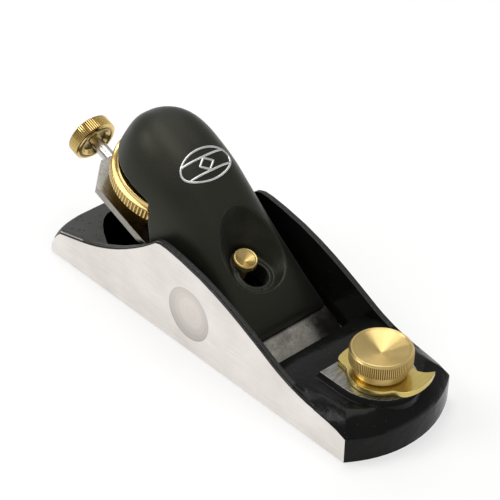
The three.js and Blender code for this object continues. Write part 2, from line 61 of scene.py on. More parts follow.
def make_camera():
    azimuth, elevation = CAMERA_AZIMUTH, CAMERA_ELEVATION
    back = Vector((math.sin(azimuth) * math.cos(elevation),
                   -math.cos(azimuth) * math.cos(elevation), math.sin(elevation)))
    right = Vector((math.cos(azimuth), math.sin(azimuth), 0))
    axes = Matrix((right, back.cross(right), back)).transposed()
    data = bpy.data.cameras.new("camera")
    data.lens = CAMERA_LENS
    data.clip_start, data.clip_end = 0.01, 50
    camera = bpy.data.objects.new("camera", data)
    bpy.context.scene.collection.objects.link(camera)
    turn = axes.to_4x4() @ Matrix.Rotation(CAMERA_ROLL, 4, "Z")
    camera.matrix_world = Matrix.Translation(CAMERA_TARGET + back * CAMERA_DISTANCE) @ turn
    bpy.context.scene.camera = camera


make_camera()

# ---- the tilted frame of the iron -----------------------------------------------------------

UP_THE_BED = Vector(JOINTS["cap_slide"]["axis"])
OFF_THE_IRON = Vector(JOINTS["clamp_travel"]["axis"])
BED_ORIGIN = Vector((43.2, 0, 0)) * MM
# Columns: up the bed, across it, off the iron.
BED = Matrix.Translation(BED_ORIGIN) @ Matrix(
    (UP_THE_BED, OFF_THE_IRON.cross(UP_THE_BED), OFF_THE_IRON)).transposed().to_4x4()
SHAFT_TURN = Matrix.Rotation(math.pi / 2, 4, "Y")  # local Z to run up the bed


def extent(node, matrix=Matrix.Identity(4)):
    """Lowest and highest corner of a CAD node in the given frame."""
    inverse = matrix.inverted()
    points = [inverse @ v.co for v in frame["nodes"][node].data.vertices]
    low = Vector([min(p[i] for p in points) for i in range(3)])
    return low, Vector([max(p[i] for p in points) for i in range(3)])


# ---- materials ------------------------------------------------------------------------------


class Look:
    """Principled material with a few short calls to build its pattern."""

    def __init__(self, name, **sockets):
        self.material = bpy.data.materials.new(name)
        self.material.use_nodes = True
        self.tree = self.material.node_tree
        self.shader = self.tree.nodes["Principled BSDF"]
        for socket, value in sockets.items():
            self.shader.inputs[socket.replace("_", " ")].default_value = value

    def node(self, kind, **settings):
        made = self.tree.nodes.new(kind)
        for key, value in settings.items():
            setattr(made, key, value)
        return made

    def link(self, source, target):
        self.tree.links.new(source, target)

    def place(self, stretch=(1, 1, 1)):
        """Object coordinates in millimetres, multiplied by stretch."""
        mapping = self.node("ShaderNodeMapping")
        mapping.inputs["Scale"].default_value = [k / MM for k in stretch]
        self.link(self.node("ShaderNodeTexCoord").outputs["Object"], mapping.inputs["Vector"])
        return mapping.outputs[0]

    def noise(self, scale, stretch=(1, 1, 1), detail=4.0, rough=0.55, place=None):
        made = self.node("ShaderNodeTexNoise")
        made.inputs["Scale"].default_value = scale
        made.inputs["Detail"].default_value = detail
        made.inputs["Roughness"].default_value = rough
        self.link(place or self.place(stretch), made.inputs["Vector"])
        return made.outputs["Fac"]

    def spots(self, scale):
        made = self.node("ShaderNodeTexVoronoi")
        made.inputs["Scale"].default_value = scale
        self.link(self.place(), made.inputs["Vector"])
        return made.outputs["Distance"]

    def radius(self):
        """Distance from the object's Z axis, in millimetres, as a vector for a 1-D pattern."""
        flat = self.node("ShaderNodeVectorMath", operation="MULTIPLY")
        self.link(self.place(), flat.inputs[0])
        flat.inputs[1].default_value = (1, 1, 0)
        length = self.node("ShaderNodeVectorMath", operation="LENGTH")
        self.link(flat.outputs[0], length.inputs[0])
        join = self.node("ShaderNodeCombineXYZ")
        self.link(length.outputs["Value"], join.inputs[0])
        parts = self.node("ShaderNodeSeparateXYZ")
        self.link(self.place(), parts.inputs[0])
        self.link(parts.outputs[2], join.inputs[1])
        return join.outputs[0]

    def span(self, source, low, high, start=0.0, end=1.0):
        """source from start..end to low..high."""
        made = self.node("ShaderNodeMapRange")
        for key, value in zip(("From Min", "From Max", "To Min", "To Max"), (start, end, low, high)):
            made.inputs[key].default_value = value
        self.link(source, made.inputs["Value"])
        return made.outputs[0]

    def mix(self, factor, first, second):
        made = self.node("ShaderNodeMix", data_type="RGBA")
        self.link(factor, made.inputs[0])
        for index, color in ((6, first), (7, second)):
            if isinstance(color, tuple):
                made.inputs[index].default_value = (*color, 1)
            else:
                self.link(color, made.inputs[index])
        return made.outputs[2]

    def add(self, first, second):
        made = self.node("ShaderNodeMath", operation="ADD")
        self.link(first, made.inputs[0])
        self.link(second, made.inputs[1])
        return made.outputs[0]

    def color(self, source):
        self.link(source, self.shader.inputs["Base Color"])

    def roughness(self, source):
        self.link(source, self.shader.inputs["Roughness"])

    def bump(self, height, depth):
        """Height 0..1 stands for this many millimetres."""
        made = self.node("ShaderNodeBump")
        made.inputs["Strength"].default_value = 1
        made.inputs["Distance"].default_value = depth * MM
        self.link(height, made.inputs["Height"])
        self.link(made.outputs[0], self.shader.inputs["Normal"])

    def radial(self, amount):
        """Highlights that fan out across turning marks, a quarter turn from the tangent."""
        tangent = self.node("ShaderNodeTangent", direction_type="RADIAL", axis="Z")
        self.shader.inputs["Anisotropic"].default_value = amount
        self.shader.inputs["Anisotropic Rotation"].default_value = 0.25
        self.link(tangent.outputs[0], self.shader.inputs["Tangent"])


def gloss_paint():
    """Black gloss over sand-cast iron: soft waves, fine orange peel and a few specks."""
    look = Look("gloss_paint", Specular_IOR_Level=0.1, Coat_Weight=0.05, Coat_Roughness=0.06)
    waves = look.noise(0.16, detail=2)
    peel = look.noise(1.6, detail=3)
    specks = look.span(look.spots(0.55), 1, 0, 0.06, 0.1)
    tone = look.mix(waves, (0.004, 0.0042, 0.0038), (0.008, 0.0083, 0.0076))
    look.color(look.mix(specks, tone, (0.05, 0.05, 0.047)))
    look.roughness(look.span(look.noise(0.5), 0.12, 0.26))
    look.bump(look.add(look.span(waves, 0, 1), look.span(peel, 0, 0.16)), 0.3)
    return look.material


def rim_paint():
    """The same paint, worn rough along the top edges of the cheeks."""
    look = Look("rim_paint", Specular_IOR_Level=0.3, Coat_Weight=0.1, Coat_Roughness=0.2)
    grit = look.noise(2.4, detail=6, rough=0.7)
    tone = look.mix(look.span(grit, 0, 1, 0.42, 0.62), (0.006, 0.006, 0.0056), (0.026, 0.0265, 0.0245))
    chips = look.span(look.spots(0.9), 1, 0, 0.08, 0.13)
    look.color(look.mix(chips, tone, (0.2, 0.2, 0.185)))
    look.roughness(look.span(grit, 0.25, 0.55, 0.3, 0.7))
    look.bump(grit, 0.12)
    return look.material


def heel_paint():
    """Worn grey paint on the rough cast top of the heel, with pits that show dark."""
    look = Look("heel_paint", Coat_Weight=0.1, Coat_Roughness=0.25)
    lumps = look.noise(0.7, detail=5, rough=0.62)
    pits = look.span(look.spots(0.42), 0, 1, 0.1, 0.3)
    worn = look.mix(lumps, (0.03, 0.032, 0.029), (0.062, 0.065, 0.06))
    look.color(look.mix(pits, (0.008, 0.0085, 0.008), worn))
    look.roughness(look.span(lumps, 0.35, 0.55, 0.3, 0.7))
    look.bump(look.add(look.span(lumps, 0, 0.6), look.span(pits, 0, 0.5)), 0.4)
    return look.material


def ground_iron(name, dark, light, along, rough=(0.3, 0.5), depth=0.006):
    """Surface-ground iron; along stretches its scratches."""
    look = Look(name, Metallic=1.0)
    scratches = look.noise(2.2, along, detail=5, rough=0.65)
    broad = look.noise(0.05, detail=3)
    both = look.add(look.span(scratches, 0, 0.5), look.span(broad, 0, 0.5))
    look.color(look.mix(look.span(both, 0, 1, 0.36, 0.64), dark, light))
    look.roughness(look.span(both, rough[1], rough[0], 0.35, 0.65))
    look.bump(scratches, depth)
    return look.material


def dimple_iron_painted_shade():
    """Finger dish in the cheek, cut with a ball-nosed tool in fine concentric steps, with painted shade
    darker towards its rim and towards its bottom.
    """
    look = Look("dimple_iron_painted_shade", Metallic=1.0)
    shift = look.node("ShaderNodeVectorMath", operation="SUBTRACT")
    look.link(look.place(), shift.inputs[0])
    shift.inputs[1].default_value = (DIMPLE_X / MM, 0, DIMPLE_Z / MM)
    flat = look.node("ShaderNodeVectorMath", operation="MULTIPLY")
    look.link(shift.outputs[0], flat.inputs[0])
    flat.inputs[1].default_value = (1, 0, 1)
    out = look.node("ShaderNodeVectorMath", operation="LENGTH")
    look.link(flat.outputs[0], out.inputs[0])
    rings = look.node("ShaderNodeCombineXYZ")
    look.link(out.outputs["Value"], rings.inputs[0])
    fine = look.noise(2.4, detail=4, place=rings.outputs[0])
    parts = look.node("ShaderNodeSeparateXYZ")
    look.link(shift.outputs[0], parts.inputs[0])
    # Painted shade: edge darkens the dish towards its rim, low darkens it towards its bottom.
    edge = look.span(out.outputs["Value"], 0.4, 0, 0.45 * DIMPLE_RADIUS / MM, DIMPLE_RADIUS / MM)
    low = look.span(parts.outputs[2], 0, 0.3, -0.8 * DIMPLE_RADIUS / MM, 0.6 * DIMPLE_RADIUS / MM)
    # worn sums this painted shade and the concentric tool marks of fine; it is not wear.
    worn = look.add(look.add(edge, low), look.span(fine, 0, 0.4, 0.3, 0.7))
    look.color(look.mix(worn, (0.4, 0.375, 0.345), (0.82, 0.77, 0.72)))
    look.roughness(look.span(fine, 0.34, 0.5))
    look.bump(fine, 0.012)
    return look.material


def cap_paint():
    """Satin powder coat: fine even texture, faint mottling, a little polished by hands."""
    look = Look("cap_paint", Sheen_Weight=0.05, Sheen_Roughness=0.4, Specular_IOR_Level=0.36)
    look.shader.inputs["Specular Tint"].default_value = (1, 1, 0.78, 1)
    powder = look.noise(2.2, detail=3)
    broad = look.noise(0.045, detail=3)
    look.color(look.mix(broad, (0.008, 0.0082, 0.0062), (0.014, 0.0143, 0.0108)))
    look.roughness(look.add(look.span(broad, 0.36, 0.46, 0.35, 0.65), look.span(powder, -0.03, 0.03)))
    look.bump(powder, 0.07)
    return look.material


def brass(name, rough, fan=0.0, marks=0.01, deep=(0.62, 0.45, 0.16), bright=(0.8, 0.6, 0.26)):
    """Turned and polished brass: rings round the axis, with slight tarnish."""
    look = Look(name, Metallic=1.0)
    rings = look.noise(5.0, detail=4, rough=0.7, place=look.radius())
    tarnish = look.noise(0.12, detail=2)
    both = look.add(look.span(rings, 0, 0.6), look.span(tarnish, 0, 0.4))
    look.color(look.mix(look.span(both, 0, 1, 0.3, 0.7), deep, bright))
    look.roughness(look.span(tarnish, rough[0], rough[1], 0.3, 0.7))
    look.bump(rings, marks)
    if fan:
        look.radial(fan)
    return look.material


def steel(name, dark, light, rough, stretch=(1, 1, 1), marks=0.006, turned=False):
    """Bright steel with faint stains, ground along stretch or turned round its axis."""
    look = Look(name, Metallic=1.0)
    if turned:
        lines = look.noise(4.0, detail=4, rough=0.7, place=look.radius())
    else:
        lines = look.noise(2.0, stretch, detail=5, rough=0.65)
    stain = look.noise(0.12, detail=4)
    both = look.add(look.span(lines, 0, 0.45), look.span(stain, 0, 0.55))
    look.color(look.mix(look.span(both, 0, 1, 0.36, 0.64), dark, light))
    look.roughness(look.span(stain, rough[0], rough[1], 0.35, 0.65))
    look.bump(lines, marks)
    return look.material


GLOSS = gloss_paint()
RIM = rim_paint()
HEEL = heel_paint()
CHEEK = ground_iron("ground_cheek", (0.72, 0.68, 0.65), (0.86, 0.815, 0.78), (0.03, 1, 1))
SOLE = ground_iron("ground_sole", (0.6, 0.58, 0.56), (0.74, 0.72, 0.7), (0.03, 1, 1))
DIMPLE_PAINTED_SHADE = dimple_iron_painted_shade()
MACHINED = ground_iron("machined_pad", (0.08, 0.077, 0.068), (0.42, 0.41, 0.37), (1, 0.12, 1),
                       (0.24, 0.5), 0.012)
BED_IRON = ground_iron("machined_bed", (0.12, 0.115, 0.105), (0.3, 0.29, 0.26), (0.2, 1, 1),
                       (0.35, 0.6))
CAP = cap_paint()
BRASS_FAN = brass("brass_turned", (0.28, 0.33), fan=0.95, marks=0.003)
BRASS_BRIGHT = brass("brass_polished", (0.12, 0.22), marks=0.004)
BRASS_FLAT = brass("brass_plate", (0.2, 0.3), marks=0.001, deep=(0.5, 0.39, 0.12),
                   bright=(0.7, 0.56, 0.2))
# Darker brass for the faces in the knurls' grooves: painted shade.
BRASS_GROOVE_SHADE = brass("brass_groove_shade", (0.4, 0.5), deep=(0.36, 0.25, 0.08), bright=(0.5, 0.36, 0.13))
BLADE_STEEL = steel("blade_steel", (0.2, 0.19, 0.165), (0.38, 0.36, 0.32), (0.14, 0.3),
                    (0.05, 1, 1), 0.002)
PIN_STEEL = steel("turned_steel", (0.46, 0.44, 0.42), (0.72, 0.7, 0.67), (0.16, 0.3), turned=True)
BADGE = steel("badge_silver", (0.62, 0.62, 0.61), (0.86, 0.86, 0.85), (0.25, 0.4))

# ---- mesh helpers ---------------------------------------------------------------------------

SMOOTH_ANGLE = math.radians(32)
COPLANAR = math.radians(0.05)
EDGE_SEGMENTS = 2
TOOTH = (0, 0, 0.7, 1, 0.7, 0)  # depth of a knurl's groove round one tooth
GROOVE_SHADE_SHARE = 0.6  # deeper than this, a point is in the groove, where the painted shade goes
KNURL_DEPTH = 0.42  # millimetres
KNURL_ROOT = 0.45  # from the knurl's outside down to the plain metal beside it


def new_object(name, mesh, matrix=None):
    made = bpy.data.objects.new(name, mesh)
    bpy.context.scene.collection.objects.link(made)
    if matrix is not None:
        made.matrix_world = matrix
    return made


def apply_modifiers(piece):
    bpy.context.view_layer.update()
    graph = bpy.context.evaluated_depsgraph_get()
    final = bpy.data.meshes.new_from_object(piece.evaluated_get(graph))
    piece.modifiers.clear()
    piece.data = final


def shade(piece):
    piece.data.shade_smooth()
    piece.data.set_sharp_from_angle(angle=SMOOTH_ANGLE)


def finish_piece(piece, body, nodes, materials):
    for material in materials:
        piece.data.materials.append(material)
    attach(piece, body)
    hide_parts(*nodes)
    return piece


def edged_copy(node, name, width):
    """Copy of a CAD node with its sharp edges rounded by width."""
    mesh = frame["nodes"][node].data.copy()
    mesh.materials.clear()
    bm = bmesh.new()
    bm.from_mesh(mesh)
    bmesh.ops.remove_doubles(bm, verts=bm.verts, dist=0.001 * MM)
    bmesh.ops.dissolve_limit(bm, angle_limit=COPLANAR, verts=bm.verts, edges=bm.edges)
    bm.to_mesh(mesh)
    bm.free()
    piece = new_object(name, mesh)
    bevel = piece.modifiers.new("edges", "BEVEL")
    bevel.width, bevel.segments = width, EDGE_SEGMENTS
    bevel.limit_method, bevel.angle_limit = "ANGLE", SMOOTH_ANGLE
    bevel.use_clamp_overlap = False
    bevel.miter_outer = "MITER_ARC"
    apply_modifiers(piece)
    keep_on_surface(piece, frame["nodes"][node].data, width / 2)
    shade(piece)
    even = piece.modifiers.new("even", "WEIGHTED_NORMAL")
    even.keep_sharp = True
    return piece


def keep_on_surface(piece, source, reach):
    """Puts each vertex that the bevel left further than reach from the source back onto it."""
    tree = BVHTree.FromPolygons([v.co for v in source.vertices], [f.vertices for f in source.polygons])
    for vertex in piece.data.vertices:
        place, _, _, distance = tree.find_nearest(vertex.co)
        if distance > reach:
            vertex.co = place


def rounded(profile, radius, count=3):
    """Profile of (r, z) with each inner corner eased by up to radius."""
    points = [Vector(p) for p in profile]
    eased = [points[0]]
    for before, corner, after in zip(points, points[1:], points[2:]):
        a, b = before - corner, after - corner
        reach = min(radius, a.length / 2.2, b.length / 2.2)
        start, end = corner + a.normalized() * reach, corner + b.normalized() * reach
        for i in range(count + 1):
            t = i / count
            eased.append((1 - t) ** 2 * start + 2 * t * (1 - t) * corner + t * t * end)
    return eased + [points[-1]]


def ring_faces(rings, count):
    """Faces between neighbouring rings of vertex numbers; a ring of one is a point on the axis."""
    faces = []
    for low, high in zip(rings, rings[1:]):
        for i in range(count):
            j = (i + 1) % count
            if len(low) == 1:
                faces.append((low[0], high[j], high[i]))
            elif len(high) == 1:
                faces.append((low[i], low[j], high[0]))
            else:
                faces.append((low[i], low[j], high[j], high[i]))
    return faces


def lathe(name, profile, matrix, segments=128, knurl=None, ease=0.12):
    """Turned piece about local Z from a profile in millimetres, axis to axis, metal on its left.
    knurl is (z0, z1, outer radius, teeth): a band of straight grooves, whose faces take the second
    material as painted shade."""
    wave = TOOTH if knurl else (0,)
    per_tooth = len(wave)
    count = knurl[3] * per_tooth if knurl else segments
    vertices, rings, grooves = [], [], set()
    for r, z in rounded(profile, ease):
        if r < 1e-6:
            rings.append([len(vertices)])
            vertices.append((0, 0, z * MM))
            continue
        cut = knurl and knurl[0] < z < knurl[1] and r > knurl[2] - 0.01
        rings.append(list(range(len(vertices), len(vertices) + count)))
        for i in range(count):
            a = 2 * math.pi * i / count
            here = r - (KNURL_DEPTH * wave[i % per_tooth] if cut else 0)
            grooves.update([len(vertices)] if cut and wave[i % per_tooth] > GROOVE_SHADE_SHARE else [])
            vertices.append((here * math.cos(a) * MM, here * math.sin(a) * MM, z * MM))
    mesh = bpy.data.meshes.new(name)
    mesh.from_pydata(vertices, [], ring_faces(rings, count))
    # Faces with two or more points in a groove take the second material, the darker brass of painted
    # shade.
    for polygon in mesh.polygons:
        polygon.material_index = int(sum(v in grooves for v in polygon.vertices) >= 2)
    piece = new_object(name, mesh, matrix)
    shade(piece)
    return piece


def axis_frame(node, turn=Matrix.Identity(4), tilted=True):
    """Frame on the axis of a turned CAD node, with its local Z along the axis, and the node's
    lowest and highest z and its radius there, in millimetres."""
    base = BED if tilted else Matrix.Identity(4)
    low, high = extent(node, base)
    middle = (low + high) / 2
    centre = Vector((middle.x, 0, 0)) if turn == Matrix.Identity(4) else Vector((0, 0, middle.z))
    matrix = base @ Matrix.Translation(centre) @ turn
    low, high = extent(node, matrix)
    return matrix, low.z / MM, high.z / MM, high.x / MM


# ---- cast body ------------------------------------------------------------------------------

CHEEK_Y = 25 * MM
RIM_INNER_Y = 22.2 * MM
PAD_TOP = 17.8 * MM
TOE_DECK_X = 48 * MM
HEEL_WELL_X = -34 * MM
HEEL_TOP, HEEL_TOP_BAND = 9.8 * MM, 0.5 * MM  # flat top of the solid heel and its worn edge
HEEL_CORNER_X = -66 * MM
BED_FROM_X, BED_TO_X, BED_HALF_WIDTH = 6 * MM, 36 * MM, 22.4 * MM
SHOULDER_X, SHOULDER_LOW, SHOULDER_HIGH = 50 * MM, 10.6 * MM, 16.5 * MM
SQUARE_ON = 0.9  # least cosine between a flat face's normal and the axis that it faces
FLUSH = 0.05 * MM
DIMPLE_DEPTH, DIMPLE_LIP = 2 * MM, 0.01 * MM
EDGE_WIDTH = {"body": 0.22 * MM, "lever": 0.25 * MM, "blade": 0.14 * MM, "toe": 0.15 * MM}
BODY_SLOTS = {"gloss": GLOSS, "cheek": CHEEK, "sole": SOLE, "pad": MACHINED, "rim": RIM,
              "dish": DIMPLE_PAINTED_SHADE, "bed": BED_IRON, "heel": HEEL}


def body_material(normal, centre):
    """Name of the material that a face of the casting wears."""
    across, outward = abs(centre.y), normal.y * centre.y > 0
    sideways = abs(normal.y) > SQUARE_ON
    dish = math.hypot(centre.x - DIMPLE_X, centre.z - DIMPLE_Z) < DIMPLE_RADIUS
    if sideways and dish and CHEEK_Y - DIMPLE_DEPTH < across < CHEEK_Y - DIMPLE_LIP:
        return "dish" if outward else "gloss"
    if sideways and across > CHEEK_Y - FLUSH:
        return "cheek"
    if normal.z < -SQUARE_ON and centre.z < 1 * MM:
        return "sole"
    if normal.z > SQUARE_ON and abs(centre.z - PAD_TOP) < FLUSH and centre.x > TOE_DECK_X:
        return "pad"
    on_bed = BED_FROM_X < centre.x < BED_TO_X and across < BED_HALF_WIDTH
    if normal.z > 0.85 and normal.x > 0.3 and on_bed:
        return "bed"
    if normal.z > 0.4 and across > RIM_INNER_Y and centre.x < TOE_DECK_X:
        return "rim"
    if centre.x < HEEL_CORNER_X and outward and abs(normal.y) > 0.5 and centre.z > 0.5 * MM:
        return "cheek"
    if centre.x < HEEL_WELL_X and normal.z > 0.3 and abs(centre.z - HEEL_TOP) < HEEL_TOP_BAND:
        return "heel"
    return "gloss"


def soften_shoulder(mesh):
    """Shades the rounded shoulder of the toe as one surface, corners included."""
    for edge in mesh.edges:
        ends = [mesh.vertices[i].co for i in edge.vertices]
        if all(p.x > SHOULDER_X and SHOULDER_LOW < p.z < SHOULDER_HIGH for p in ends):
            edge.use_edge_sharp = False


def make_body():
    piece = edged_copy("body_casting", "body_shell", EDGE_WIDTH["body"])
    finish_piece(piece, "body", ["body_casting"], BODY_SLOTS.values())
    slots = list(BODY_SLOTS)
    for polygon in piece.data.polygons:
        polygon.material_index = slots.index(body_material(polygon.normal, polygon.center))
    soften_shoulder(piece.data)


# ---- lever cap ------------------------------------------------------------------------------

# Everything in this section is in millimetres: s up the bed, y across it, height over the iron.
CAP_STATIONS = [  # s, half width, height of the crown
    (26.2, 20.2, 2.4), (27.4, 20.3, 4.2), (30, 20.3, 6.3), (34, 20.2, 8.9), (40, 20, 12.1),
    (47, 19.8, 15.5), (55, 19.5, 19.6), (64, 19.5, 24), (73, 19.9, 27.9), (81, 20.7, 30.6),
    (89, 21.1, 32.4), (96, 21.1, 33.1), (102, 20.1, 33), (107, 17.9, 31.7), (111, 14.8, 29.1),
    (114, 10.7, 25.7), (116, 5.4, 21.4), (116.8, 2.4, 18.6),
]
CAP_LOW = 0.3
CAP_RINGS, CAP_RING_POINTS = 80, 56
CAP_SQUARE = (50, 90, 4, 3)  # s from and to, and the section's power there: squarer at the toe end
DISH_RINGS = [  # toe end, rear end, half width, height
    (39.2, 57.4, 7.2, 8.2), (37.6, 58.4, 8.6, 10), (35, 60.6, 11.6, 14), (33, 63.4, 14.2, 19),
    (31.6, 67.4, 16, 28)]
DISH_TAPER = 0.16  # the dish narrows towards its rear end
DISH_STEPS = 24
KEYHOLE_WIDE, KEYHOLE_NARROW, KEYHOLE_RIM = 5, 2.8, 1.3  # two radii, and the width of the rim
KEYHOLE_S = (46, 52)
KEYHOLE_RIM_LOW, KEYHOLE_RIM_HIGH, KEYHOLE_CUT_HIGH = 5, 8.8, 15
WHEEL_S = 95
WHEEL_ROOM = ((22.4, 13.8), (20.9, 15.6))  # steps of radius and height
BEHIND_HIGH_S, BEHIND_LOW_S = 86, 74.6  # the cap's rear wall slopes between these
BEHIND_PAST_S, BEHIND_HALF = 130, 30
RELIEF_S, RELIEF_HALF, RELIEF_HIGH = (31, 68), 17, 1.6  # shallow recess over the iron
VOXEL, SMOOTHING = 0.42 * MM, 4  # soft cast edges come from a fine remesh, smoothed a little
TOOL_LOW = -5  # the cutting tools start under the iron's top


def between(stations, t):
    """Smooth curve through the stations, t from 0 to 1."""
    last = len(stations) - 1
    i = min(int(t * last), last - 1)
    u = t * last - i
    near = [stations[min(max(k, 0), last)] for k in (i - 1, i, i + 1, i + 2)]
    return [0.5 * (2 * b + (c - a) * u + (2 * a - 5 * b + 4 * c - d) * u ** 2
                   + (3 * b - a - 3 * c + d) * u ** 3) for a, b, c, d in zip(*near)]


def squareness(s):
    start, end, low, high = CAP_SQUARE
    share = min(max((s - start) / (end - start), 0), 1)
    return low + (high - low) * share


def loft_mesh(name, rings):
    """Closed mesh through rings of equal count, in millimetres, in the bed's frame."""
    count = len(rings[0])
    vertices = [Vector(p) * MM for ring in rings for p in ring]
    faces = [tuple(range(count))[::-1], tuple(range(len(vertices) - count, len(vertices)))]
    for k in range(len(rings) - 1):
        for i in range(count):
            j = (i + 1) % count
            faces.append((k * count + i, k * count + j, (k + 1) * count + j, (k + 1) * count + i))
    mesh = bpy.data.meshes.new(name)
    mesh.from_pydata(vertices, [], faces)
    bm = bmesh.new()
    bm.from_mesh(mesh)
    bmesh.ops.recalc_face_normals(bm, faces=bm.faces)
    bm.to_mesh(mesh)
    bm.free()
    return new_object(name, mesh, BED)


def prism(name, outline, h0, h1):
    """Outline of (s, y) raised from h0 to h1."""
    return loft_mesh(name, [[(s, y, h) for s, y in outline] for h in (h0, h1)])


def cap_skin():
    rings = []
    for k in range(CAP_RINGS + 1):
        s, half, crown = between(CAP_STATIONS, k / CAP_RINGS)
        ring = []
        for i in range(CAP_RING_POINTS + 1):
            y = math.sin((i / CAP_RING_POINTS - 0.5) * math.pi)
            rise = math.sqrt(max(1 - abs(y) ** squareness(s), 0))
            ring.append((s, y * half, CAP_LOW + (crown - CAP_LOW) * rise))
        rings.append(ring)
    return loft_mesh("lever_cap_shell", rings)


def oval(middle, along, across, count=96):
    """Points (s, y) round an oval."""
    return [(middle + along * math.cos(i / (count / 2) * math.pi),
             across * math.sin(i / (count / 2) * math.pi)) for i in range(count)]


def egg(front, rear, half, count=72):
    """Points (s, y) round an oval that is narrower towards its rear."""
    points = []
    for i in range(count):
        a = 2 * math.pi * i / count
        taper = 1 + DISH_TAPER * math.cos(a)
        points.append(((front + rear) / 2 + (rear - front) / 2 * math.cos(a), half * math.sin(a) / taper))
    return points


def keyhole_outline(grow):
    """Round hole that runs into a narrower slot with a round end."""
    wide, narrow = KEYHOLE_WIDE + grow, KEYHOLE_NARROW + grow
    s0, s1 = KEYHOLE_S
    opening = math.asin(narrow / wide)
    big = [opening + (2 * math.pi - 2 * opening) * i / 40 for i in range(41)]
    small = [-math.pi / 2 + math.pi * i / 16 for i in range(17)]
    outline = [(s0 + wide * math.cos(a), wide * math.sin(a)) for a in big]
    return outline + [(s1 + narrow * math.cos(a), narrow * math.sin(a)) for a in small]


def combine(piece, tool, operation):
    modifier = piece.modifiers.new(operation, "BOOLEAN")
    modifier.operation, modifier.object, modifier.solver = operation, tool, "EXACT"
    apply_modifiers(piece)
    bpy.data.objects.remove(tool)


def open_wheel_room(piece):
    """Cuts the stepped room that the wheel turns in, and clears the space behind the cap."""
    for radius, height in WHEEL_ROOM:
        combine(piece, prism("room", oval(WHEEL_S, radius, radius), TOOL_LOW, height), "DIFFERENCE")
    under = WHEEL_ROOM[-1][1]
    behind = [[(BEHIND_HIGH_S, y, under), (BEHIND_LOW_S, y, TOOL_LOW), (BEHIND_PAST_S, y, TOOL_LOW),
               (BEHIND_PAST_S, y, under)] for y in (-BEHIND_HALF, BEHIND_HALF)]
    combine(piece, loft_mesh("behind", behind), "DIFFERENCE")


def open_relief(piece):
    front, rear = RELIEF_S
    outline = [(front, -RELIEF_HALF), (rear, -RELIEF_HALF), (rear, RELIEF_HALF), (front, RELIEF_HALF)]
    combine(piece, prism("relief", outline, TOOL_LOW, RELIEF_HIGH), "DIFFERENCE")


def open_dish(piece):
    """Cuts the finger dish, then the keyhole in its floor with a raised rim."""
    rings = [between(DISH_RINGS, k / DISH_STEPS) for k in range(DISH_STEPS + 1)]
    dish = [[(s, y, h) for s, y in egg(front, rear, half)] for front, rear, half, h in rings]
    combine(piece, loft_mesh("dish", dish), "DIFFERENCE")
    rim = prism("rim", keyhole_outline(KEYHOLE_RIM), KEYHOLE_RIM_LOW, KEYHOLE_RIM_HIGH)
    combine(piece, rim, "UNION")
    combine(piece, prism("keyhole", keyhole_outline(0), TOOL_LOW, KEYHOLE_CUT_HIGH), "DIFFERENCE")


def soften_edges(piece):
    remesh = piece.modifiers.new("remesh", "REMESH")
    remesh.mode, remesh.voxel_size = "VOXEL", VOXEL
    smooth = piece.modifiers.new("smooth", "SMOOTH")
    smooth.factor, smooth.iterations = 0.5, SMOOTHING
    apply_modifiers(piece)


def make_cap():
    piece = cap_skin()
    open_wheel_room(piece)
    open_relief(piece)
    open_dish(piece)
    soften_edges(piece)
    piece.data.transform(piece.matrix_world)
    piece.matrix_world = Matrix.Identity(4)
    piece.data.shade_smooth()
    finish_piece(piece, "cap", ["lever_cap"], [CAP])


# ---- turned pieces --------------------------------------------------------------------------

# Radii in millimetres.
KNOB_NECK = 9.2
WHEEL_BORE, WHEEL_HUB = 3.15, 8
SCREW_SHANK = 2.5
KNOB_TEETH, WHEEL_TEETH, ADJUSTER_TEETH = 96, 96, 70


def make_front_knob():
    matrix, low, high, radius = axis_frame("front_knob", tilted=False)
    root = radius - KNURL_ROOT
    profile = [(0, low + 0.02), (8.5, low + 0.02), (KNOB_NECK, low + 0.6), (KNOB_NECK, high - 6.3),
               (root, high - 5.6), (root + 0.1, high - 5.35), (radius, high - 5.15), (radius, high - 0.85),
               (root + 0.1, high - 0.5), (root - 0.1, high), (root - 0.75, high - 0.03),
               (root - 1.05, high - 0.25), (0.9, high - 2.5), (0, high - 2.62)]
    piece = lathe("front_knob_turned", profile, matrix,
                  knurl=(high - 5.2, high - 0.7, radius, KNOB_TEETH))
    finish_piece(piece, "knob", ["front_knob"], [BRASS_FAN, BRASS_GROOVE_SHADE])


def make_wheel():
    matrix, low, high, radius = axis_frame("cap_wheel")
    root = radius - KNURL_ROOT
    rim = low + 2.5
    profile = [(WHEEL_BORE, low), (WHEEL_HUB, low), (WHEEL_HUB, rim), (root - 0.6, rim),
               (root, rim + 0.5), (radius, rim + 0.7), (radius, high - 2.1), (root, high - 1.9),
               (root - 1.1, high - 1.5), (root - 1.3, high - 0.2), (root - 1.6, high), (12, high),
               (11, high - 1), (WHEEL_BORE, high - 1)]
    piece = lathe("cap_wheel_turned", profile, matrix,
                  knurl=(rim + 0.6, high - 2.0, radius, WHEEL_TEETH))
    close_bore(piece)
    finish_piece(piece, "wheel", ["cap_wheel"], [BRASS_BRIGHT, BRASS_GROOVE_SHADE])


def close_bore(piece):
    """Joins the first and last ring of an open lathe, round its bore."""
    bm = bmesh.new()
    bm.from_mesh(piece.data)
    loops = [e for e in bm.edges if e.is_boundary]
    bmesh.ops.bridge_loops(bm, edges=loops)
    bmesh.ops.recalc_face_normals(bm, faces=bm.faces)
    bm.to_mesh(piece.data)
    bm.free()
    shade(piece)


